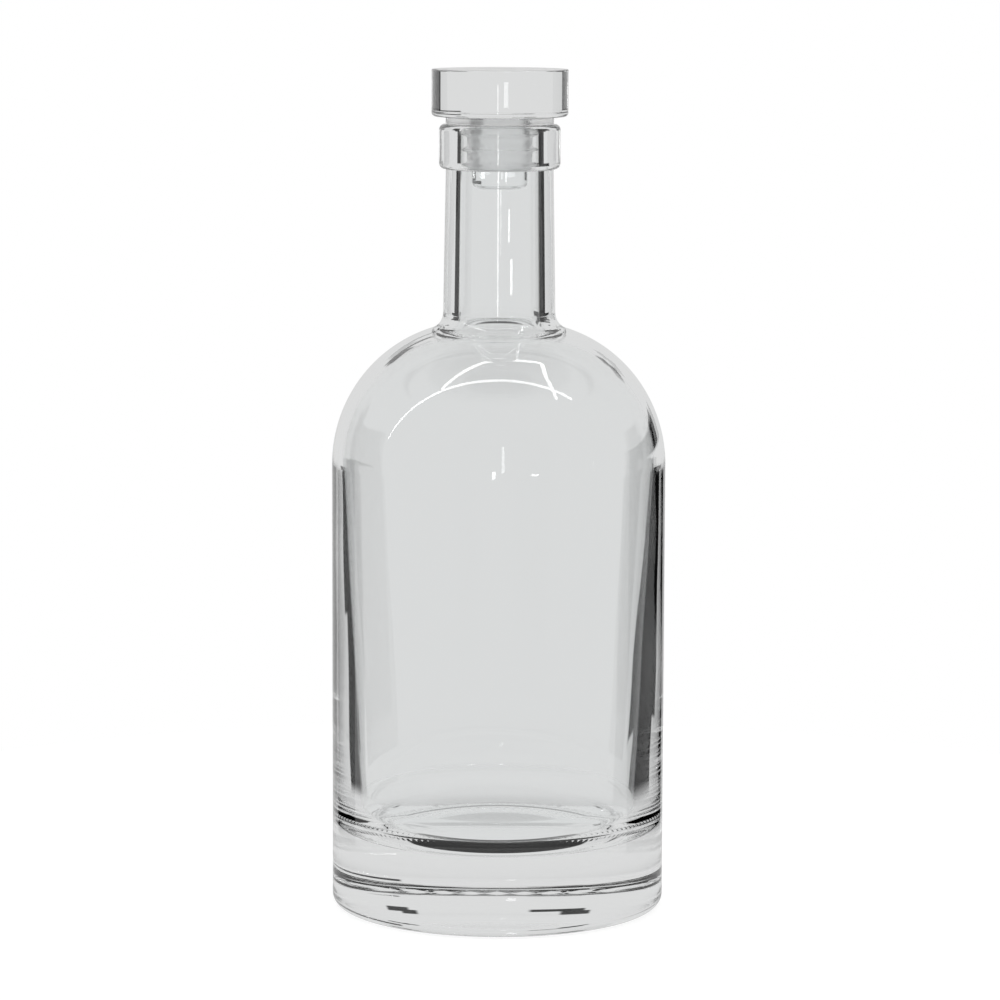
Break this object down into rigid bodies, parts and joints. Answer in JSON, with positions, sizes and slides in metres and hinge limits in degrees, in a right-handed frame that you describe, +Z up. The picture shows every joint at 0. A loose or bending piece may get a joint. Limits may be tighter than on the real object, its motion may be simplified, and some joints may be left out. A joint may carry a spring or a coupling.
{
  "type": "glass decanter",
  "caption": "Round clear glass decanter with a heavy base, domed shoulder, straight collared neck and a lift-out glass stopper on a clear soft seal.",
  "frame": {"origin": "centre of the ring that the decanter stands on, at the surface it stands on", "axes": "+Z up along the decanter's axis; the decanter is round, so X and Y have no front"},
  "size_m": [0.088, 0.088, 0.2218],
  "materials": {
    "clear_glass": "colourless moulded flint glass, fire polished, with a stippled standing ring",
    "stopper_glass": "colourless pressed glass, fire polished, with crisp top edge",
    "clear_soft_plastic": "clear to slightly milky soft moulded plastic, satin"
  },
  "bodies": {
    "bottle": {"bottle": "clear_glass", "bottle_neck": "clear_glass"},
    "stopper": {"glass_stopper": "stopper_glass", "stopper_seal": "clear_soft_plastic"}
  },
  "joints": [
    {"name": "stopper_pull", "type": "slide", "parent": "bottle", "child": "stopper", "axis": [0, 0, 1], "range_m": [0, 0.04]}
  ]
}
